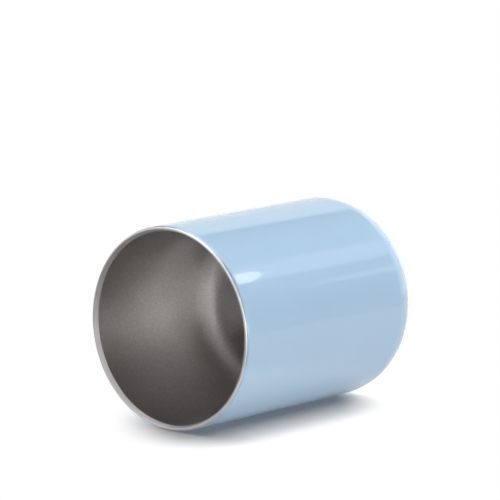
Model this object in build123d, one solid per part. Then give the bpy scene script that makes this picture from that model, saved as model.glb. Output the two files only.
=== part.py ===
from build123d import *
import os
from math import cos, radians, tan

# A drawn steel cup with a double wall. Millimetres, +Z up, mouth upwards.
# The origin is the centre of the base, on the surface that the cup stands on.
# Two drawn shells meet only at the lip, and the space between them is sealed.

# Outer shell
body_diameter = 80.0
cup_height = 108.0
outer_sheet = 0.6
base_corner_radius = 14.5

# Pressed panel in the middle of the base, which leaves a flat ring to stand on
panel_radius = 19.0
panel_depth = 1.2
panel_slope_width = 2.4
panel_top_bend = 1.6
panel_foot_bend = 1.2

# Shoulder that turns the wall in under the lip
shoulder_angle = 29.0
shoulder_radius = 2.0

# Lip of bare metal, part of the inner shell
lip_width = 2.0
lip_height = 0.9
lip_round = 0.65
bevel_width = 0.8
bevel_height = 1.7
bevel_blend = 0.25
coat_step = 0.05

# Weld groove under the lip's outer edge, and the root that carries the bevel's foot
groove_height = 0.2
groove_depth = 0.2
root_width = 0.9
root_below_bevel = 0.3

# Inner shell
inner_sheet = 0.6
inner_depth = 69.5
inner_corner_radius = 10.5

# Places worked out from the sizes above
body_radius = body_diameter / 2
mouth_radius = body_radius - lip_width
floor_height = cup_height - inner_depth
lip_seat_height = cup_height - lip_height
shoulder_tangent = shoulder_radius * tan(radians(shoulder_angle / 2))
shoulder_height = lip_seat_height - shoulder_tangent * cos(radians(shoulder_angle))
shoulder_inset = (lip_seat_height - shoulder_height) * tan(radians(shoulder_angle))
lip_outer_radius = body_radius - shoulder_inset - coat_step
groove_radius = lip_outer_radius - groove_depth
groove_top = lip_seat_height + groove_height
root_radius = mouth_radius + root_width
root_height = cup_height - bevel_height - root_below_bevel


def sheet_cup(face_line: Wire, sheet: float, side: Side) -> Part:
    """Spin the section of a drawn sheet, given the line of one of its faces."""
    outline = offset(face_line, sheet, side=side, closed=True)
    return revolve(Plane.XZ * make_face(outline), Axis.Z)


def make_outer_shell() -> Part:
    """Drawn shell that is coated outside: pressed base, wide corner, straight wall, shoulder."""
    past_seat = lip_height
    outside = FilletPolyline(
        (0, panel_depth),
        (panel_radius - panel_slope_width, panel_depth),
        (panel_radius, 0),
        (body_radius, 0),
        (body_radius, shoulder_height),
        (body_radius - shoulder_inset - past_seat * tan(radians(shoulder_angle)), lip_seat_height + past_seat),
        radius=[panel_top_bend, panel_foot_bend, base_corner_radius, shoulder_radius],
    )
    shell = sheet_cup(outside, outer_sheet, Side.LEFT)
    return split(shell, bisect_by=Plane.XY.offset(lip_seat_height), keep=Keep.BOTTOM)


def make_lip() -> Part:
    """Ring that closes the two walls: weld groove, rounded outer edge, flat land, bevel into the mouth."""
    section = make_face(
        FilletPolyline(
            (mouth_radius, root_height),
            (root_radius, root_height),
            (root_radius, lip_seat_height),
            (groove_radius, lip_seat_height),
            (groove_radius, groove_top),
            (lip_outer_radius, groove_top),
            (lip_outer_radius, cup_height),
            (mouth_radius + bevel_width, cup_height),
            (mouth_radius, cup_height - bevel_height),
            radius=[0, 0, 0, 0, 0, 0, lip_round, bevel_blend, bevel_blend],
            close=True,
        )
    )
    return revolve(Plane.XZ * section, Axis.Z)


def make_inner_shell() -> Part:
    """Bare drawn liner with its rounded floor corner, carrying the lip."""
    inside = FilletPolyline(
        (0, floor_height),
        (mouth_radius, floor_height),
        (mouth_radius, root_height),
        radius=inner_corner_radius,
    )
    return sheet_cup(inside, inner_sheet, Side.RIGHT) + make_lip()


os.makedirs("parts", exist_ok=True)
export_step(make_outer_shell(), "parts/outer_shell.step")
export_step(make_inner_shell(), "parts/inner_shell.step")
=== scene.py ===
"""Looks of a double-wall drawn steel cup with a sky-blue gloss coat.

The cup has two drawn shells that meet at a lip of bare metal. The outer shell is coated, and the
liner inside is blasted steel. Both are spun from their sections by one Geometry Nodes tree.
In the photograph the cup lies on its side on a table. Here it stands upright, so the camera is
rolled against it, and the table is a plane beside it.
"""
import logging
from dataclasses import dataclass
from enum import Enum
from math import ceil, cos, pi, radians, sin, tan
from typing import Any, NamedTuple, Sequence

import bpy
from bpy.types import Material, Node, NodeSocket, NodeTree, Object
from mathutils import Matrix, Vector


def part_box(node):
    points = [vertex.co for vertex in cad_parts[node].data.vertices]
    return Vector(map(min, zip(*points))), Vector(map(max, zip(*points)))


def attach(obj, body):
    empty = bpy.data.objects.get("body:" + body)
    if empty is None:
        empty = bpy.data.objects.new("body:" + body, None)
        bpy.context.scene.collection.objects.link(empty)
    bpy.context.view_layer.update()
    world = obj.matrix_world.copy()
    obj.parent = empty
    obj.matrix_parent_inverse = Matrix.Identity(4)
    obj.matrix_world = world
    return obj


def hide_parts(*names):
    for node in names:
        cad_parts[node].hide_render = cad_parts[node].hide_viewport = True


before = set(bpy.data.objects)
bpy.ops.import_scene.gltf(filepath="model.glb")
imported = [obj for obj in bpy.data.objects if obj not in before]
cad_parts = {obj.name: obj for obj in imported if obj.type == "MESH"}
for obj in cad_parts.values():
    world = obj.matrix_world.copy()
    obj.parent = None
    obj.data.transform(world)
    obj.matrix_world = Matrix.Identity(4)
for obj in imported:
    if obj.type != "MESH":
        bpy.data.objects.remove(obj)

LOG = logging.getLogger("cup")
MM = 0.001
Colour = tuple[float, float, float]
WHITE: Colour = (1.0, 1.0, 1.0)
CUP_AXIS = Vector((0.0, 0.0, 1.0))


def rgba(colour: Colour) -> tuple[float, float, float, float]:
    """A colour with full opacity."""
    return (*colour, 1.0)


def add_object(name: str, data: bpy.types.ID) -> Object:
    """Puts new data into the scene.

    Args:
        name: The object's name.
        data: Its mesh, camera or light.

    Returns:
        The object, at the origin.
    """
    added = bpy.data.objects.new(name, data)
    bpy.context.scene.collection.objects.link(added)
    return added


# Section lines

class Corner(NamedTuple):
    """A corner of a section line, in metres, and the radius that it is bent to."""

    r: float
    z: float
    bend: float = 0.0


class LinePoint(NamedTuple):
    """A point of a section line, its unit normal to the left, and whether it takes the second finish."""

    r: float
    z: float
    normal_r: float
    normal_z: float
    second: float = 0.0

    def moved(self, distance: float, second: float) -> "LinePoint":
        """The point at that distance along the normal, with its mark for the second finish."""
        return LinePoint(
            self.r + self.normal_r * distance, self.z + self.normal_z * distance,
            self.normal_r, self.normal_z, second,
        )


@dataclass(frozen=True)
class SheetLine:
    """A line of straight runs joined by arcs, as a sheet takes them in the press.

    Attributes:
        corners: The corners in order, with their bend radii.
        arc_chord: Longest chord on an arc.
        fewest_chords: Chords on the smallest arc.
        guard: Distance of the extra point that keeps a long run's shading flat.
        long_run: Length past which a run is a long one.
    """

    corners: Sequence[Corner]
    arc_chord: float = 0.45 * MM
    fewest_chords: int = 6
    guard: float = 0.25 * MM
    long_run: float = 1.0 * MM

    def points(self) -> list[LinePoint]:
        """Rounds every corner.

        Returns:
            The points of the line from its first corner to its last.
        """
        course: list[LinePoint] = []
        start = Vector(self.corners[0][:2])
        for here, after in zip(self.corners[1:-1], self.corners[2:]):
            corner, following = Vector(here[:2]), Vector(after[:2])
            arriving, leaving = (corner - start).normalized(), (following - corner).normalized()
            turn = -arriving.angle_signed(leaving)
            reach = here.bend * tan(abs(turn) / 2)
            self._run(course, start, corner - arriving * reach)
            if here.bend:
                self._arc(course, corner - arriving * reach, arriving, turn, here.bend)
            start = corner + leaving * reach
        self._run(course, start, Vector(self.corners[-1][:2]))
        return course

    def _run(self, course: list[LinePoint], start: Vector, end: Vector) -> None:
        """Adds a straight run, with a guard point near each end of a long one.

        Args:
            course: The points so far, which grow.
            start: Where the run starts.
            end: Where it ends.
        """
        along = (end - start).normalized()
        length = (end - start).length
        places = [0.0, length]
        if length > self.long_run:
            places[1:1] = [self.guard, length - self.guard]
        for place in places:
            spot = start + along * place
            course.append(LinePoint(spot.x, spot.y, -along.y, along.x))

    def _arc(self, course: list[LinePoint], start: Vector, along: Vector, turn: float, bend: float) -> None:
        """Adds the points between the two ends of an arc.

        Args:
            course: The points so far, which grow.
            start: Where the arc starts.
            along: Unit direction there.
            turn: Angle of the turn, positive to the left.
            bend: Radius of the arc.
        """
        side = 1 if turn > 0 else -1
        left = Vector((-along.y, along.x))
        centre = start + left * bend * side
        chords = max(self.fewest_chords, ceil(abs(turn) * bend / self.arc_chord))
        for step in range(1, chords):
            angle = turn * step / chords
            normal = Vector((
                left.x * cos(angle) - left.y * sin(angle),
                left.x * sin(angle) + left.y * cos(angle),
            ))
            spot = centre - normal * bend * side
            course.append(LinePoint(spot.x, spot.y, normal.x, normal.y))


def cut_level(line: Sequence[LinePoint], height: float) -> list[LinePoint]:
    """Cuts a rising line off at a height.

    Args:
        line: The line, whose end lies above the height.
        height: Where to cut it.

    Returns:
        The points below, and one on the cut.
    """
    last = max(place for place, point in enumerate(line) if point.z < height)
    below, above = line[last], line[last + 1]
    share = (height - below.z) / (above.z - below.z)
    return [*line[:last + 1], below._replace(r=below.r + (above.r - below.r) * share, z=height)]


# Nodes

class Bench:
    """Lays nodes in one tree and wires them as they are laid."""

    def __init__(self, tree: NodeTree) -> None:
        """Takes the tree to work in."""
        self.tree = tree

    def feed(self, node: Node, inputs: dict[Any, Any]) -> None:
        """Wires a node's inputs, or sets their values.

        Args:
            node: The node.
            inputs: Sockets to wire or values to set, by the input's name or number.
        """
        for key, value in inputs.items():
            if isinstance(value, NodeSocket):
                self.tree.links.new(value, node.inputs[key])
            else:
                node.inputs[key].default_value = value

    def lay(self, kind: str, inputs: dict[Any, Any] | None = None, **settings: Any) -> Node:
        """Adds a node.

        Args:
            kind: The node's type name.
            inputs: Sockets to wire or values to set, by the input's name or number.
            **settings: Properties of the node.

        Returns:
            The new node.
        """
        node = self.tree.nodes.new(kind)
        for name, value in settings.items():
            setattr(node, name, value)
        self.feed(node, inputs or {})
        return node

    def math(self, operation: str, *values: Any) -> NodeSocket:
        """The result of a Math node on sockets or numbers."""
        return self.lay("ShaderNodeMath", dict(enumerate(values)), operation=operation).outputs[0]

    def measure(self, operation: str, *vectors: Any) -> NodeSocket:
        """The number that a Vector Math node gives for sockets or vectors."""
        node = self.lay("ShaderNodeVectorMath", dict(enumerate(vectors)), operation=operation)
        return node.outputs["Value"]

    def toned(self, colour: Colour, tone: NodeSocket) -> NodeSocket:
        """A colour times a factor."""
        return self.lay("ShaderNodeVectorMath", {0: colour, "Scale": tone}, operation="SCALE").outputs[0]

    def bump(self, height: NodeSocket, depth: float) -> NodeSocket:
        """The normal of a face whose height runs from 0 to that depth."""
        inputs = {"Height": height, "Strength": 1.0, "Distance": depth}
        return self.lay("ShaderNodeBump", inputs).outputs[0]

    def fade(self, value: NodeSocket, start: Any, end: Any) -> NodeSocket:
        """A smooth rise from 0 at the start to 1 at the end."""
        inputs = {"Value": value, "From Min": start, "From Max": end}
        return self.lay("ShaderNodeMapRange", inputs, interpolation_type="SMOOTHSTEP").outputs[0]

    def blend(self, share: NodeSocket, first: Any, second: Any) -> NodeSocket:
        """A number between two others, the second one where the share is 1."""
        return self.lay("ShaderNodeMix", {0: share, 2: first, 3: second}, data_type="FLOAT").outputs[0]

    def mix(self, share: NodeSocket, first: NodeSocket, second: NodeSocket) -> NodeSocket:
        """A shader mixed from two, the second one where the share is 1."""
        return self.lay("ShaderNodeMixShader", {0: share, 1: first, 2: second}).outputs[0]


class Socket(NamedTuple):
    """A named socket of a node group."""

    name: str
    kind: str
    value: Any = None


def new_group(name: str, tree_kind: str, takes: Sequence[Socket], gives: Sequence[Socket]) -> NodeTree:
    """Makes an empty node group with named sockets.

    Args:
        name: The group's name.
        tree_kind: Type name of the tree.
        takes: Its inputs, with their usual values.
        gives: Its outputs.

    Returns:
        The new group.
    """
    group = bpy.data.node_groups.new(name, tree_kind)
    for sockets, way in ((takes, "INPUT"), (gives, "OUTPUT")):
        for each in sockets:
            made = group.interface.new_socket(each.name, in_out=way, socket_type=each.kind)
            if each.value is not None:
                made.default_value = each.value
    return group


# Spinning a section into a shell

class SpinTree:
    """Geometry Nodes tree that spins a section round the axis, closes it and gives it its finishes.

    Attributes:
        MARK: Name of the attribute that marks points for the second finish.
        ALL_MARKED: Mean mark that only a face with all its points marked is above.
    """

    MARK = "second_finish"
    ALL_MARKED = 0.75

    def __init__(self) -> None:
        """Builds the tree."""
        self.tree = new_group(
            "spun shell", "GeometryNodeTree",
            [
                Socket("Section", "NodeSocketGeometry"),
                Socket("Segments", "NodeSocketInt", 256),
                Socket("Merge Distance", "NodeSocketFloat", 0.002 * MM),
                Socket("Crease Angle", "NodeSocketFloat", radians(40)),
                Socket("Finish", "NodeSocketMaterial"),
                Socket("Second Finish", "NodeSocketMaterial"),
            ],
            [Socket("Shell", "NodeSocketGeometry")],
        )
        bench = Bench(self.tree)
        given = bench.lay("NodeGroupInput").outputs
        count = bench.lay(
            "GeometryNodeAttributeDomainSize", {"Geometry": given["Section"]}
        ).outputs["Point Count"]
        net = bench.lay(
            "GeometryNodeMeshGrid",
            {"Vertices X": bench.math("ADD", given["Segments"], 1.0), "Vertices Y": count},
        ).outputs["Mesh"]
        closed = bench.lay(
            "GeometryNodeMergeByDistance",
            {"Geometry": self._spin(bench, given, net, count), "Distance": given["Merge Distance"]},
        ).outputs["Geometry"]
        shaded = self._shade(bench, closed, given["Crease Angle"])
        whole = bench.lay("GeometryNodeRealizeInstances", {"Geometry": shaded}).outputs[0]
        dressed = bench.lay("GeometryNodeSetMaterial", {"Geometry": whole, "Material": given["Finish"]})
        marked = bench.lay(
            "FunctionNodeCompare", {0: self._mark(bench), 1: self.ALL_MARKED}, operation="GREATER_THAN"
        )
        dressed = bench.lay(
            "GeometryNodeSetMaterial",
            {
                "Geometry": dressed.outputs[0],
                "Selection": marked.outputs[0],
                "Material": given["Second Finish"],
            },
        )
        bench.lay("NodeGroupOutput", {"Shell": dressed.outputs[0]})

    def _mark(self, bench: Bench) -> NodeSocket:
        """The mark for the second finish, read from the mesh at hand."""
        mark = bench.lay("GeometryNodeInputNamedAttribute", {"Name": self.MARK}, data_type="FLOAT")
        return mark.outputs["Attribute"]

    def _spin(self, bench: Bench, given: Any, net: NodeSocket, count: NodeSocket) -> NodeSocket:
        """Wraps a flat net round the axis, one column of the net for each place of the section.

        Args:
            bench: Where to lay the nodes.
            given: The tree's input sockets.
            net: The flat net.
            count: How many points the section has.

        Returns:
            The wrapped net, open at its seam and poles, and marked as the section is.
        """
        index = bench.lay("GeometryNodeInputIndex").outputs[0]
        column = bench.math("FLOOR", bench.math("DIVIDE", index, count))
        row = bench.math("MODULO", index, count)
        angle = bench.math("DIVIDE", bench.math("MULTIPLY", column, 2 * pi), given["Segments"])
        position = bench.lay("GeometryNodeInputPosition").outputs[0]
        place = bench.lay(
            "GeometryNodeSampleIndex", {"Geometry": given["Section"], "Value": position, "Index": row},
            data_type="FLOAT_VECTOR", domain="POINT",
        )
        split = bench.lay("ShaderNodeSeparateXYZ", {0: place.outputs[0]}).outputs
        spot = bench.lay(
            "ShaderNodeCombineXYZ",
            {
                "X": bench.math("MULTIPLY", split["X"], bench.math("COSINE", angle)),
                "Y": bench.math("MULTIPLY", split["X"], bench.math("SINE", angle)),
                "Z": split["Z"],
            },
        )
        mark = bench.lay(
            "GeometryNodeSampleIndex",
            {"Geometry": given["Section"], "Value": self._mark(bench), "Index": row},
            data_type="FLOAT", domain="POINT",
        )
        marked = bench.lay(
            "GeometryNodeStoreNamedAttribute",
            {"Geometry": net, "Name": self.MARK, "Value": mark.outputs[0]},
            data_type="FLOAT", domain="POINT",
        )
        return bench.lay(
            "GeometryNodeSetPosition", {"Geometry": marked.outputs[0], "Position": spot.outputs[0]}
        ).outputs[0]

    def _shade(self, bench: Bench, shell: NodeSocket, crease: NodeSocket) -> NodeSocket:
        """Smooth shading, with a sharp line wherever the section has a crease.

        Args:
            bench: Where to lay the nodes.
            shell: The closed shell.
            crease: Smallest angle of a crease.

        Returns:
            The shaded shell.
        """
        smooth = bench.lay("GeometryNodeSetShadeSmooth", {0: shell, "Shade Smooth": True})
        angle = bench.lay("GeometryNodeInputMeshEdgeAngle").outputs["Unsigned Angle"]
        creased = bench.lay("FunctionNodeCompare", {0: angle, 1: crease}, operation="GREATER_THAN")
        sharp = bench.lay(
            "GeometryNodeSetShadeSmooth",
            {0: smooth.outputs[0], "Selection": creased.outputs[0], "Shade Smooth": False},
            domain="EDGE",
        )
        return sharp.outputs[0]

    def spin(self, name: str, section: Sequence[LinePoint], finish: Material,
             second_finish: Material) -> Object:
        """Spins one section into a closed mesh.

        Args:
            name: The piece's name.
            section: The closed section.
            finish: Material of the faces that show.
            second_finish: Material of the faces whose points are all marked for it.

        Returns:
            A plain mesh object at the origin.
        """
        wire = bpy.data.meshes.new(name + "_section")
        spots = [(point.r, 0.0, point.z) for point in section]
        wire.from_pydata(spots, [(start, start + 1) for start in range(len(section) - 1)], [])
        marks = wire.attributes.new(self.MARK, "FLOAT", "POINT")
        marks.data.foreach_set("value", [point.second for point in section])
        source = add_object(name + "_section", wire)
        modifier = source.modifiers.new("spin", "NODES")
        modifier.node_group = self.tree
        finishes = {"Finish": finish, "Second Finish": second_finish}
        for socket in self.tree.interface.items_tree:
            if socket.name in finishes:
                modifier[socket.identifier] = finishes[socket.name]
        spun = source.evaluated_get(bpy.context.evaluated_depsgraph_get())
        mesh = bpy.data.meshes.new_from_object(spun)
        mesh.name = name
        source.modifiers.remove(modifier)
        bpy.data.objects.remove(source)
        bpy.data.meshes.remove(wire)
        mesh.attributes.remove(mesh.attributes[self.MARK])
        return add_object(name, mesh)


# Finishes

class GrainGroup:
    """Shader group of one fine noise, for blasting marks, orange peel and turning lines.

    Attributes:
        ROUGHNESS: How much the finer octaves weigh.
        DARKEST: Noise that gives the lowest value.
        LIGHTEST: Noise that gives the highest value.
    """

    ROUGHNESS = 0.6
    DARKEST = 0.28
    LIGHTEST = 0.72

    def __init__(self) -> None:
        """Builds the group."""
        self.group = new_group(
            "metal grain", "ShaderNodeTree",
            [
                Socket("Vector", "NodeSocketVector"),
                Socket("Scale", "NodeSocketFloat", 1.0),
                Socket("Detail", "NodeSocketFloat", 2.0),
                Socket("Dark", "NodeSocketFloat", 0.0),
                Socket("Light", "NodeSocketFloat", 1.0),
            ],
            [Socket("Value", "NodeSocketFloat")],
        )
        bench = Bench(self.group)
        given = bench.lay("NodeGroupInput").outputs
        pattern = {name: given[name] for name in ("Vector", "Scale", "Detail")}
        noise = bench.lay("ShaderNodeTexNoise", {**pattern, "Roughness": self.ROUGHNESS})
        value = bench.lay(
            "ShaderNodeMapRange",
            {
                "Value": noise.outputs["Fac"], "From Min": self.DARKEST, "From Max": self.LIGHTEST,
                "To Min": given["Dark"], "To Max": given["Light"],
            },
        )
        bench.lay("NodeGroupOutput", {"Value": value.outputs[0]})

    def place(self, bench: Bench, vector: NodeSocket, scale: float, dark: float = 0.0, light: float = 1.0,
              detail: float = 2.0) -> NodeSocket:
        """Puts the group into a material.

        Args:
            bench: The material's bench.
            vector: Coordinates in metres.
            scale: Grains a metre, roughly.
            dark: Lowest value.
            light: Highest value.
            detail: Octaves of the noise.

        Returns:
            The group's value.
        """
        values = {"Vector": vector, "Scale": scale, "Detail": detail, "Dark": dark, "Light": light}
        return bench.lay("ShaderNodeGroup", values, node_tree=self.group).outputs["Value"]


def new_material(name: str) -> tuple[Material, Bench, Node, NodeSocket]:
    """Starts a material.

    Args:
        name: Its name.

    Returns:
        The material, its bench, its Principled shader and its Object coordinates.
    """
    material = bpy.data.materials.new(name)
    material.use_nodes = True
    bench = Bench(material.node_tree)
    place = bench.lay("ShaderNodeTexCoord").outputs["Object"]
    return material, bench, material.node_tree.nodes["Principled BSDF"], place


@dataclass(frozen=True)
class GlossCoat:
    """Thick glossy coat, sky blue, with a faint orange peel.

    Its scales are grains a metre, and its spread and range are shares of the tone and the roughness.
    """

    colour: Colour = (0.43, 0.605, 0.785)
    tone_scale: float = 45.0
    tone_spread: float = 0.012
    roughness: float = 0.025
    roughness_scale: float = 900.0
    roughness_range: tuple[float, float] = (0.8, 1.3)
    refraction: float = 1.5
    peel_scale: float = 260.0
    peel_depth: float = 0.004 * MM

    def make(self, grain: GrainGroup) -> Material:
        """Builds the material.

        Args:
            grain: The group of fine noise.

        Returns:
            The material.
        """
        material, bench, shader, place = new_material("blue_gloss_coat")
        tone = grain.place(bench, place, self.tone_scale, 1 - self.tone_spread, 1 + self.tone_spread)
        low, high = (self.roughness * share for share in self.roughness_range)
        peel = grain.place(bench, place, self.peel_scale, detail=0.0)
        bench.feed(shader, {
            "Base Color": bench.toned(self.colour, tone),
            "Roughness": grain.place(bench, place, self.roughness_scale, low, high),
            "IOR": self.refraction,
            "Normal": bench.bump(peel, self.peel_depth),
        })
        return material


@dataclass(frozen=True)
class BlastedSteel:
    """Bare steel with the dull, finely grained face of a blasted liner.

    Its scales are grains a metre. Its tone is a share, and the spread is added to the roughness.
    """

    colour: Colour = (0.5, 0.4835, 0.473)
    grain_scale: float = 1500.0
    grain_tone: float = 0.16
    roughness: float = 0.5
    roughness_scale: float = 140.0
    roughness_spread: float = 0.03
    dent_scale: float = 1050.0
    dent_depth: float = 0.003 * MM

    def make(self, grain: GrainGroup) -> Material:
        """Builds the material.

        Args:
            grain: The group of fine noise.

        Returns:
            The material.
        """
        material, bench, shader, place = new_material("blasted_steel")
        tone = grain.place(bench, place, self.grain_scale, 1 - self.grain_tone, 1 + self.grain_tone)
        low, high = self.roughness - self.roughness_spread, self.roughness + self.roughness_spread
        dents = grain.place(bench, place, self.dent_scale, detail=1.0)
        bench.feed(shader, {
            "Base Color": bench.toned(self.colour, tone),
            "Metallic": 1.0,
            "Roughness": grain.place(bench, place, self.roughness_scale, low, high),
            "Normal": bench.bump(dents, self.dent_depth),
        })
        return material


@dataclass(frozen=True)
class PolishedLip:
    """Bare steel of the lip, turned and softly polished, with fine lines round it.

    Its scales are grains a metre, and its spread and range are shares of the tone and the roughness.
    """

    colour: Colour = (0.7, 0.675, 0.675)
    tone_spread: float = 0.03
    roughness: float = 0.55
    roughness_scale: float = 300.0
    roughness_range: tuple[float, float] = (0.85, 1.15)
    line_scale: float = 9000.0
    line_depth: float = 0.002 * MM

    def make(self, grain: GrainGroup) -> Material:
        """Builds the material.

        Args:
            grain: The group of fine noise.

        Returns:
            The material.
        """
        material, bench, shader, place = new_material("polished_lip")
        split = bench.lay("ShaderNodeSeparateXYZ", {0: place}).outputs
        flat = bench.lay("ShaderNodeCombineXYZ", {"X": split["X"], "Y": split["Y"]}).outputs[0]
        radius = bench.measure("LENGTH", flat)
        across = bench.lay("ShaderNodeCombineXYZ", {"X": radius, "Y": split["Z"]}).outputs[0]
        lines = grain.place(bench, across, self.line_scale, detail=1.0)
        tone = bench.math("MULTIPLY_ADD", lines, 2 * self.tone_spread, 1 - self.tone_spread)
        low, high = (self.roughness * share for share in self.roughness_range)
        bench.feed(shader, {
            "Base Color": bench.toned(self.colour, tone),
            "Metallic": 1.0,
            "Roughness": grain.place(bench, place, self.roughness_scale, low, high),
            "Normal": bench.bump(lines, self.line_depth),
        })
        return material


# The two shells

@dataclass(frozen=True)
class CupSizes:
    """Sizes that the two shells share, in metres.

    Attributes:
        body_radius: Outside radius of the straight wall.
        height: Height of the lip.
        seat: Height where the lip sits on the outer shell.
        lip_outer_radius: Outside radius of the lip.
        liner_bottom: Lowest point of the liner's outside.
        sheet: Thickness of both sheets.
    """

    body_radius: float
    height: float
    seat: float
    lip_outer_radius: float
    liner_bottom: float
    sheet: float = 0.6 * MM

    @classmethod
    def from_frame(cls) -> "CupSizes":
        """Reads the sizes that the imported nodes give.

        Returns:
            The sizes.
        """
        outer_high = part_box("outer_shell")[1]
        inner_low, inner_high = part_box("inner_shell")
        return cls(outer_high.x, inner_high.z, outer_high.z, inner_high.x, inner_low.z)


@dataclass(frozen=True)
class OuterShell:
    """Coated shell: pressed base panel, wide corner, straight wall, shoulder under the lip."""

    sizes: CupSizes
    corner_radius: float = 14.5 * MM
    panel_radius: float = 19.0 * MM
    panel_depth: float = 1.2 * MM
    panel_slope: float = 2.4 * MM
    panel_top_bend: float = 1.6 * MM
    panel_foot_bend: float = 1.2 * MM
    shoulder_angle: float = radians(29)
    shoulder_radius: float = 2.0 * MM

    def section(self) -> list[LinePoint]:
        """Draws the closed section, from the axis along the coated face and back inside.

        Returns:
            Its points, with those of the hidden face marked for the second finish.
        """
        sizes = self.sizes
        bend_reach = self.shoulder_radius * tan(self.shoulder_angle / 2)
        shoulder_height = sizes.seat - bend_reach * cos(self.shoulder_angle)
        past_seat = sizes.height - shoulder_height
        outside = SheetLine((
            Corner(0, self.panel_depth),
            Corner(self.panel_radius - self.panel_slope, self.panel_depth, self.panel_top_bend),
            Corner(self.panel_radius, 0, self.panel_foot_bend),
            Corner(sizes.body_radius, 0, self.corner_radius),
            Corner(sizes.body_radius, shoulder_height, self.shoulder_radius),
            Corner(sizes.body_radius - past_seat * tan(self.shoulder_angle), sizes.height),
        )).points()
        inside = [point.moved(sizes.sheet, 1.0) for point in outside]
        return cut_level(outside, sizes.seat) + cut_level(inside, sizes.seat)[::-1]

    def build(self, spinner: SpinTree, coat: Material, bare: Material) -> Object:
        """Spins the shell and seats it on its node.

        Args:
            spinner: The tree that spins sections.
            coat: Finish of the outside.
            bare: Finish of the face that the double wall hides.

        Returns:
            The piece.
        """
        piece = spinner.spin("coated_outer_shell", self.section(), coat, bare)
        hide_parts("outer_shell")
        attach(piece, "root")
        return piece


@dataclass(frozen=True)
class InnerShell:
    """Liner of bare steel with a round floor corner, and the lip that it carries.

    The two are one solid. Their meshes are apart because their finishes take different lamps.
    """

    sizes: CupSizes
    lip_width: float = 2.0 * MM
    lip_round: float = 0.65 * MM
    bevel_width: float = 0.8 * MM
    bevel_height: float = 1.7 * MM
    bevel_blend: float = 0.25 * MM
    groove_height: float = 0.2 * MM
    groove_depth: float = 0.2 * MM
    root_width: float = 0.9 * MM
    root_below_bevel: float = 0.3 * MM
    corner_radius: float = 10.5 * MM

    @property
    def mouth_radius(self) -> float:
        """Inside radius of the wall."""
        return self.sizes.body_radius - self.lip_width

    @property
    def root_height(self) -> float:
        """Height where the wall ends and the lip begins."""
        return self.sizes.height - self.bevel_height - self.root_below_bevel

    def liner_section(self) -> list[LinePoint]:
        """Draws the closed section of floor and wall, up the inside and down the hidden face.

        Returns:
            Its points.
        """
        sizes = self.sizes
        mouth, root = self.mouth_radius, self.root_height
        return SheetLine((
            Corner(0, sizes.liner_bottom + sizes.sheet),
            Corner(mouth, sizes.liner_bottom + sizes.sheet, self.corner_radius),
            Corner(mouth, root),
            Corner(mouth + sizes.sheet, root),
            Corner(mouth + sizes.sheet, sizes.liner_bottom, self.corner_radius + sizes.sheet),
            Corner(0, sizes.liner_bottom),
        )).points()

    def lip_section(self) -> list[LinePoint]:
        """Draws the closed section of the lip: bevel, rounded edge, weld groove and root.

        Returns:
            Its points.
        """
        sizes = self.sizes
        mouth, root = self.mouth_radius, self.root_height
        groove = sizes.lip_outer_radius - self.groove_depth
        return SheetLine((
            Corner(mouth, root),
            Corner(mouth, sizes.height - self.bevel_height, self.bevel_blend),
            Corner(mouth + self.bevel_width, sizes.height, self.bevel_blend),
            Corner(sizes.lip_outer_radius, sizes.height, self.lip_round),
            Corner(sizes.lip_outer_radius, sizes.seat + self.groove_height),
            Corner(groove, sizes.seat + self.groove_height),
            Corner(groove, sizes.seat),
            Corner(mouth + self.root_width, sizes.seat),
            Corner(mouth + self.root_width, root),
            Corner(mouth, root),
        )).points()

    def build(self, spinner: SpinTree, steel: Material, lip: Material) -> tuple[Object, Object]:
        """Spins the liner and its lip and seats both on their node.

        Args:
            spinner: The tree that spins sections.
            steel: Finish of the liner.
            lip: Finish of the lip.

        Returns:
            The liner and the lip.
        """
        pieces = (
            spinner.spin("bare_liner", self.liner_section(), steel, steel),
            spinner.spin("bare_lip", self.lip_section(), lip, lip),
        )
        for piece in pieces:
            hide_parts("inner_shell")
            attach(piece, "root")
        return pieces


# The room of the photograph

@dataclass(frozen=True)
class Room:
    """Directions of the room in the cup's own frame: the cup lies on its side on a table.

    Attributes:
        body_radius: Radius that the cup rests on.
        roll: Angle about the cup's axis of the side that points up.
        swing: Angle on the table between the cup's axis and the line of sight.
    """

    body_radius: float
    roll: float = radians(135)
    swing: float = radians(40.51)

    @property
    def up(self) -> Vector:
        """Away from the table."""
        return Vector((cos(self.roll), sin(self.roll), 0.0))

    @property
    def away(self) -> Vector:
        """Along the table, away from the camera."""
        across = Vector((-sin(self.roll), cos(self.roll), 0.0))
        return across * sin(self.swing) - CUP_AXIS * cos(self.swing)

    @property
    def right(self) -> Vector:
        """Along the table, to the camera's right."""
        return self.away.cross(self.up)

    def direction(self, azimuth: float, elevation: float) -> Vector:
        """Unit vector for angles in degrees: azimuth 0 is away and 90 right."""
        turn, rise = radians(azimuth), radians(elevation)
        return (self.away * cos(turn) + self.right * sin(turn)) * cos(rise) + self.up * sin(rise)


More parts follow.
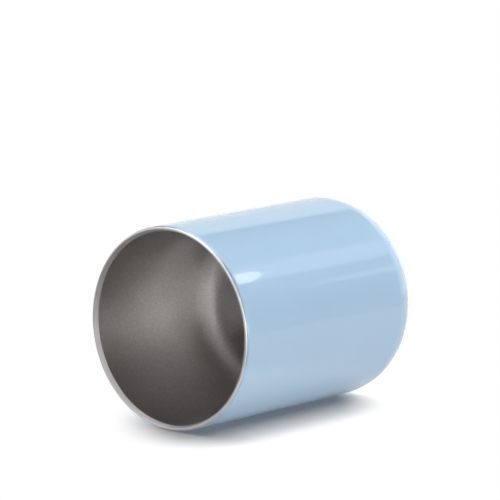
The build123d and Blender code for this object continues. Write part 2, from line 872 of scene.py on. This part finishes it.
@dataclass(frozen=True)
class Camera:
    """Long lens at the photograph's place.

    Attributes:
        back: Metres from the centre of the cup's base, towards the camera.
        above: Metres above the cup's axis.
        aside: Metres to the right.
        pitch: Angle by which it looks down.
        sensor: Width of the sensor, in millimetres.
        focal: Focal length, in millimetres.
        clip: Nearest and farthest distance that it sees.
    """

    back: float = 1.6721
    above: float = 0.2996
    aside: float = -0.0385
    pitch: float = radians(9.59)
    sensor: float = 36.0
    focal: float = 302.1
    clip: tuple[float, float] = (0.05, 20.0)

    def build(self, room: Room) -> None:
        """Makes the scene's camera.

        Args:
            room: Gives the directions.
        """
        data = bpy.data.cameras.new("camera")
        data.sensor_width, data.lens = self.sensor, self.focal
        data.clip_start, data.clip_end = self.clip
        forward = room.away * cos(self.pitch) - room.up * sin(self.pitch)
        place = Matrix((room.right, room.right.cross(forward), -forward)).transposed().to_4x4()
        place.translation = room.up * self.above - room.away * self.back + room.right * self.aside
        camera = add_object("camera", data)
        camera.matrix_world = place
        bpy.context.scene.camera = camera


@dataclass(frozen=True)
class Window:
    """A soft rectangular light far away.

    Attributes:
        azimuth: Direction of its middle, in degrees from straight away to the right.
        elevation: Degrees above the table.
        width: Full angle across, in degrees.
        height: Full angle up, in degrees.
        strength: Brightness that it adds.
        softness: Degrees over which its edge fades.
        tilt: Turn about its own middle, in degrees.
    """

    azimuth: float
    elevation: float
    width: float
    height: float
    strength: float
    softness: float
    tilt: float = 0.0


class WindowGroup:
    """Shader group that masks a rectangle of the sky.

    Attributes:
        LEAST_DEPTH: Keeps the divisions away from 0 at right angles to the window.
    """

    LEAST_DEPTH = 0.001

    def __init__(self) -> None:
        """Builds the group."""
        self.group = new_group(
            "sky window", "ShaderNodeTree",
            [
                Socket("Direction", "NodeSocketVector"),
                Socket("Middle", "NodeSocketVector"),
                Socket("Across", "NodeSocketVector"),
                Socket("Upward", "NodeSocketVector"),
                Socket("Half Width", "NodeSocketFloat"),
                Socket("Half Height", "NodeSocketFloat"),
                Socket("Softness", "NodeSocketFloat"),
            ],
            [Socket("Mask", "NodeSocketFloat")],
        )
        bench = Bench(self.group)
        given = bench.lay("NodeGroupInput").outputs
        facing = bench.measure("DOT_PRODUCT", given["Direction"], given["Middle"])
        depth = bench.math("MAXIMUM", facing, self.LEAST_DEPTH)
        masks = [bench.math("GREATER_THAN", facing, 0.0)]
        for axis, half in (("Across", "Half Width"), ("Upward", "Half Height")):
            offset = bench.measure("DOT_PRODUCT", given["Direction"], given[axis])
            place = bench.math("ABSOLUTE", bench.math("DIVIDE", offset, depth))
            outer = bench.math("MULTIPLY", given["Softness"], -0.5)
            inner = bench.math("MULTIPLY", given["Softness"], 0.5)
            masks.append(bench.fade(bench.math("SUBTRACT", given[half], place), outer, inner))
        mask = bench.math("MULTIPLY", masks[0], bench.math("MULTIPLY", masks[1], masks[2]))
        bench.lay("NodeGroupOutput", {"Mask": mask})

    def place(self, bench: Bench, direction: NodeSocket, window: Window, room: Room) -> NodeSocket:
        """Puts one window into the sky.

        Args:
            bench: The world's bench.
            direction: Direction being looked at.
            window: The window.
            room: Gives its directions.

        Returns:
            Its mask.
        """
        middle = room.direction(window.azimuth, window.elevation)
        level = room.direction(window.azimuth + 90, 0)
        upright = level.cross(middle)
        tilt = radians(window.tilt)
        values = {
            "Direction": direction,
            "Middle": middle,
            "Across": level * cos(tilt) + upright * sin(tilt),
            "Upward": upright * cos(tilt) - level * sin(tilt),
            "Half Width": tan(radians(window.width / 2)),
            "Half Height": tan(radians(window.height / 2)),
            "Softness": radians(window.softness),
        }
        return bench.lay("ShaderNodeGroup", values, node_tree=self.group).outputs["Mask"]


@dataclass(frozen=True)
class Sky:
    """Soft studio light from all round, with a few soft windows, and plain white to the camera.

    What comes from below the table's level lights the cup, but no second bounce, because a real
    table would hold it back from the shade under the cup.

    Attributes:
        overhead: Brightness straight above the table.
        level: Brightness at the table's level.
        below: Brightness under the table's level.
        below_bounces: Diffuse bounces past which the light from below is held back.
        windows: The windows.
    """

    overhead: float = 0.06
    level: float = 0.02
    below: float = 0.3
    below_bounces: float = 1.5
    windows: tuple[Window, ...] = (
        Window(azimuth=22, elevation=14, width=104, height=38, strength=0.95, softness=2),
        Window(azimuth=15, elevation=70, width=44, height=40, strength=5.8, softness=12),
        Window(azimuth=114, elevation=-5, width=44, height=22, strength=6.2, softness=12),
        Window(azimuth=114, elevation=14, width=44, height=18, strength=2.3, softness=12),
        Window(azimuth=65.5, elevation=33.5, width=13, height=5, strength=0.85, softness=1, tilt=-34),
    )

    def build(self, room: Room) -> None:
        """Makes the scene's world.

        Args:
            room: Gives the directions.
        """
        world = bpy.data.worlds.new("studio")
        world.use_nodes = True
        world.node_tree.nodes.clear()
        bpy.context.scene.world = world
        bench = Bench(world.node_tree)
        direction = bench.lay("ShaderNodeTexCoord").outputs["Generated"]
        height = bench.measure("DOT_PRODUCT", direction, room.up)
        above = bench.lay(
            "ShaderNodeMapRange",
            {
                "Value": height, "From Min": 0.0, "From Max": 1.0,
                "To Min": self.level, "To Max": self.overhead,
            },
        ).outputs[0]
        sunk = bench.math("LESS_THAN", height, 0.0)
        light = bench.blend(sunk, above, self.below)
        group = WindowGroup()
        for window in self.windows:
            mask = group.place(bench, direction, window, room)
            light = bench.math("MULTIPLY_ADD", mask, window.strength, light)
        path = bench.lay("ShaderNodeLightPath").outputs
        late = bench.math("GREATER_THAN", path["Diffuse Depth"], self.below_bounces)
        kept = bench.math("SUBTRACT", 1.0, bench.math("MULTIPLY", sunk, late))
        strength = bench.math("MULTIPLY", light, kept)
        glow = bench.lay("ShaderNodeBackground", {"Color": rgba(WHITE), "Strength": strength}).outputs[0]
        white = bench.lay("ShaderNodeBackground", {"Color": rgba(WHITE)}).outputs[0]
        bench.lay("ShaderNodeOutputWorld", {"Surface": bench.mix(path["Is Camera Ray"], glow, white)})


class LampKind(Enum):
    """How a lamp's rays run."""

    PARALLEL = "SUN"
    CONE = "SPOT"
    PANEL = "AREA"


@dataclass(frozen=True)
class Lamp:
    """A lamp that lights one piece alone, and that the camera doesn't see.

    Attributes:
        name: Its name.
        kind: How its rays run.
        azimuth: Where its light comes from, in degrees from straight away to the right.
        elevation: Degrees above the table.
        strength: Its light at the aim, which a change of reach leaves about as it is.
        spread: Degrees that a parallel lamp looks wide, or that a cone opens.
        aim: What its axis goes through: aside of the cup's axis, above it, and height.
        reach: Distance of a cone or a panel from there.
        face: Width of the lamp's face across the cup's axis, and along it.
        casts_shadow: Whether other pieces stand in its way.
        mirrored: Whether a glossy face mirrors it.
    """

    name: str
    kind: LampKind
    azimuth: float
    elevation: float
    strength: float
    spread: float = 2.4
    aim: tuple[float, float, float] = (0.0, 0.0, 108.0 * MM)
    reach: float = 1.2
    face: tuple[float, float] = (40.0 * MM, 40.0 * MM)
    casts_shadow: bool = True
    mirrored: bool = True

    def build(self, room: Room, piece: Object) -> None:
        """Makes the lamp.

        Args:
            room: Gives the directions.
            piece: The piece that it lights.
        """
        data = bpy.data.lights.new(self.name, self.kind.value)
        data.use_shadow = self.casts_shadow
        if self.kind is LampKind.PARALLEL:
            data.energy, data.angle = self.strength, radians(self.spread)
        else:
            data.energy = self.strength * 4 * pi * self.reach ** 2
        if self.kind is LampKind.CONE:
            data.spot_size, data.spot_blend = radians(self.spread), 1.0
            data.shadow_soft_size = self.face[0] / 2
        if self.kind is LampKind.PANEL:
            data.shape = "ELLIPSE"
            data.size, data.size_y = self.face
        lamp = add_object(self.name, data)
        lamp.visible_camera = False
        lamp.visible_glossy = self.mirrored
        towards = room.direction(self.azimuth, self.elevation)
        aside, above, height = self.aim
        target = room.up.cross(CUP_AXIS) * aside + room.up * above + CUP_AXIS * height
        lamp.location = target + towards * self.reach
        lamp.rotation_mode = "QUATERNION"
        lamp.rotation_quaternion = towards.to_track_quat("Z", "Y")
        lit = bpy.data.collections.new(self.name + "_lights")
        lit.objects.link(piece)
        lamp.light_linking.receiver_collection = lit


def liner_fill(name: str, azimuth: float, elevation: float, strength: float,
               aim: tuple[float, float, float], reach: float, face: float = 10.0) -> Lamp:
    """A small soft panel that stands inside the cup.

    Args:
        name: Its name.
        azimuth: Where its light comes from, in degrees from straight away to the right.
        elevation: Degrees above the table.
        strength: Its light at the aim.
        aim: Place that it faces: aside of the cup's axis, above it, and height, in millimetres.
        reach: Millimetres from there.
        face: Millimetres that it is wide.

    Returns:
        The lamp.
    """
    aside, above, height = (part * MM for part in aim)
    return Lamp(name, LampKind.PANEL, azimuth, elevation, strength, aim=(aside, above, height),
                reach=reach * MM, face=(face * MM, face * MM))


LINER_LAMPS = (
    Lamp("high_left_beam", LampKind.CONE, azimuth=270, elevation=22, strength=5.6),
    Lamp("low_left_beam", LampKind.CONE, azimuth=262, elevation=12, strength=6.4),
    Lamp("level_beam", LampKind.CONE, azimuth=256, elevation=2, strength=4.7),
    liner_fill("mouth_fill", 170, 0, 0.225, aim=(-33.4, 10.0, 50.3), reach=20.0, face=8.0),
    liner_fill("edge_fill", 83, -8, 0.007, aim=(-38.0, -1.8, 87.8), reach=25.0),
    liner_fill("wall_fill", 81, -15, 0.017, aim=(-37.9, 2.6, 76.0), reach=25.0),
    liner_fill("low_fill", 80, 18, 0.014, aim=(-35.1, -14.5, 67.3), reach=25.0),
    liner_fill("deep_fill", 76, -25, 0.024, aim=(-37.1, 8.0, 55.8), reach=20.0),
    liner_fill("corner_fill", 114, -7, 0.008, aim=(-37.6, -1.5, 46.2), reach=15.0),
    liner_fill("floor_fill", 261, -10, 0.028, aim=(-23.0, -4.9, 38.5), reach=20.0),
)
LIP_LAMP = Lamp("lip_lamp", LampKind.PARALLEL, azimuth=215, elevation=0, strength=3.0, spread=180,
                casts_shadow=False)
COAT_LAMPS = (
    Lamp("coat_lamp", LampKind.PANEL, azimuth=67.5, elevation=32.8, strength=0.0052, reach=0.3,
         aim=(33.0 * MM, 22.7 * MM, 100.5 * MM), face=(48.0 * MM, 14.0 * MM)),
    Lamp("under_lamp", LampKind.PARALLEL, azimuth=315, elevation=-34, strength=1.6, spread=30,
         casts_shadow=False, mirrored=False),
)
TABLE_LAMP = Lamp("table_lamp", LampKind.PARALLEL, azimuth=100, elevation=58, strength=2.3, spread=55)


# The table and the floor

def new_matte(name: str, colour: Colour) -> tuple[Material, Bench, Node, NodeSocket]:
    """Starts a material with no gloss.

    Args:
        name: Its name.
        colour: Its colour.

    Returns:
        The material, its bench, its Principled shader and its Object coordinates.
    """
    material, bench, shader, place = new_material(name)
    bench.feed(shader, {"Base Color": rgba(colour), "Roughness": 1.0, "Specular IOR Level": 0.0})
    return material, bench, shader, place


def finish_clear(bench: Bench, share: NodeSocket, face: NodeSocket) -> None:
    """Ends a material's tree.

    Args:
        bench: The material's bench.
        share: Where this is 1, the material is clear.
        face: The shader that shows elsewhere.
    """
    clear = bench.lay("ShaderNodeBsdfTransparent").outputs[0]
    output = next(node for node in bench.tree.nodes if node.type == "OUTPUT_MATERIAL")
    bench.feed(output, {"Surface": bench.mix(share, face, clear)})


@dataclass(frozen=True)
class SideTable:
    """Table that the cup lies on in the photograph. It is clear from behind.

    Attributes:
        room: Gives its directions.
        before: Reach towards the camera.
        behind: Reach away from the camera.
        to_left: Reach to the left.
        to_right: Reach to the right, to the edge that the coat mirrors.
        shade_middle: Middle of the shaded patch, away from the camera and to the right.
        shade_reach: Half sizes of the patch outside which the table is plain white.
        shade_core: Share of the half sizes from which the shade fades.
        albedo: Colour of the shaded patch.
        mirrored: Brightness of the plain part in the coat's reflections.
        front_painted_shade: The same in front of the mouth, set far darker there as painted shade on the
            table.
        front_fade: Heights of the cup between which the two meet.
    """

    room: Room
    before: float = 0.9
    behind: float = 1.6
    to_left: float = 0.6
    to_right: float = 0.30
    shade_middle: tuple[float, float] = (-0.05, -0.036)
    shade_reach: tuple[float, float] = (0.16, 0.058)
    shade_core: float = 0.55
    albedo: Colour = (0.92, 0.925, 0.94)
    mirrored: float = 0.82
    # Painted shade: how bright the table glows in reflections in front of the mouth.
    front_painted_shade: float = 0.03
    front_fade: tuple[float, float] = (0.112, 0.135)

    def build(self) -> Object:
        """Makes the table's plane and its material.

        Returns:
            The table.
        """
        room = self.room
        ground = room.up * -room.body_radius
        corners = [
            ground + room.away * ahead + room.right * aside
            for ahead, aside in (
                (-self.before, -self.to_left), (-self.before, self.to_right),
                (self.behind, self.to_right), (self.behind, -self.to_left),
            )
        ]
        mesh = bpy.data.meshes.new("side_table")
        mesh.from_pydata(corners, [], [(0, 1, 2, 3)])
        if mesh.polygons[0].normal.dot(room.up) < 0:
            mesh.flip_normals()
        mesh.materials.append(self._material())
        table = add_object("side_table", mesh)
        table.visible_diffuse = False
        table.visible_shadow = False
        table.visible_transmission = False
        return table

    def _material(self) -> Material:
        """Builds the table's material: shaded near the cup, plain white further out.

        Returns:
            The material.
        """
        material, bench, shader, place = new_matte("white_table", self.albedo)
        squares = []
        axes = (self.room.away, self.room.right)
        for axis, middle, half in zip(axes, self.shade_middle, self.shade_reach):
            offset = bench.math("SUBTRACT", bench.measure("DOT_PRODUCT", place, axis), middle)
            share = bench.math("DIVIDE", offset, half)
            squares.append(bench.math("MULTIPLY", share, share))
        distance = bench.math("SQRT", bench.math("ADD", *squares))
        outside = bench.fade(distance, self.shade_core, 1.0)
        # Glossy faces see the table as a glow; in front of the mouth that glow is nearly black, which is
        # painted shade in place of the lit table.
        height = bench.lay("ShaderNodeSeparateXYZ", {0: place}).outputs["Z"]
        front = bench.fade(height, *self.front_fade)
        bare = bench.math("MAXIMUM", outside, front)
        mirror_glow_with_painted_shade = bench.blend(front, self.mirrored, self.front_painted_shade)
        white = bench.lay("ShaderNodeEmission", {"Color": rgba(WHITE)}).outputs[0]
        dimmed = bench.lay("ShaderNodeEmission", {"Color": rgba(WHITE), "Strength": mirror_glow_with_painted_shade}).outputs[0]
        to_camera = bench.mix(outside, shader.outputs[0], white)
        to_mirrors = bench.mix(bare, shader.outputs[0], dimmed)
        seen = bench.lay("ShaderNodeLightPath").outputs["Is Camera Ray"]
        behind = bench.lay("ShaderNodeNewGeometry").outputs["Backfacing"]
        finish_clear(bench, behind, bench.mix(seen, to_mirrors, to_camera))
        return material


@dataclass(frozen=True)
class BaseSpot:
    """Small patch of floor under the standing cup, which takes its contact shadow and fades out."""

    radius: float = 32.0 * MM
    drop: float = 0.05 * MM
    fade_width: float = 3.0 * MM
    sides: int = 96
    colour: Colour = (0.95, 0.95, 0.95)

    def build(self) -> None:
        """Makes the patch and its material."""
        turns = [2 * pi * side / self.sides for side in range(self.sides)]
        rim = [(self.radius * cos(turn), self.radius * sin(turn), -self.drop) for turn in turns]
        mesh = bpy.data.meshes.new("base_spot")
        mesh.from_pydata(rim, [], [tuple(range(self.sides))])
        material, bench, shader, place = new_matte("pale_floor", self.colour)
        edge = bench.fade(bench.measure("LENGTH", place), self.radius - self.fade_width, self.radius)
        finish_clear(bench, edge, shader.outputs[0])
        mesh.materials.append(material)
        spot = add_object("base_spot", mesh)
        spot.visible_shadow = False
        spot.visible_diffuse = False


def main() -> None:
    """Builds the camera, the two shells and the studio, and reports each piece."""
    logging.basicConfig(level=logging.INFO, format="%(name)s: %(message)s")
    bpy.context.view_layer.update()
    bpy.context.scene.view_settings.view_transform = "Standard"

    sizes = CupSizes.from_frame()
    room = Room(sizes.body_radius)
    Camera().build(room)

    grain = GrainGroup()
    coat = GlossCoat().make(grain)
    steel = BlastedSteel().make(grain)
    lip = PolishedLip().make(grain)

    spinner = SpinTree()
    shell = OuterShell(sizes).build(spinner, coat, steel)
    liner, rim = InnerShell(sizes).build(spinner, steel, lip)
    for piece in (shell, liner, rim):
        LOG.info("%s: %d faces", piece.name, len(piece.data.polygons))

    for lamp in LINER_LAMPS:
        lamp.build(room, liner)
    LIP_LAMP.build(room, rim)
    for lamp in COAT_LAMPS:
        lamp.build(room, shell)
    Sky().build(room)
    TABLE_LAMP.build(room, SideTable(room).build())
    BaseSpot().build()


if __name__ == "__main__":
    main()
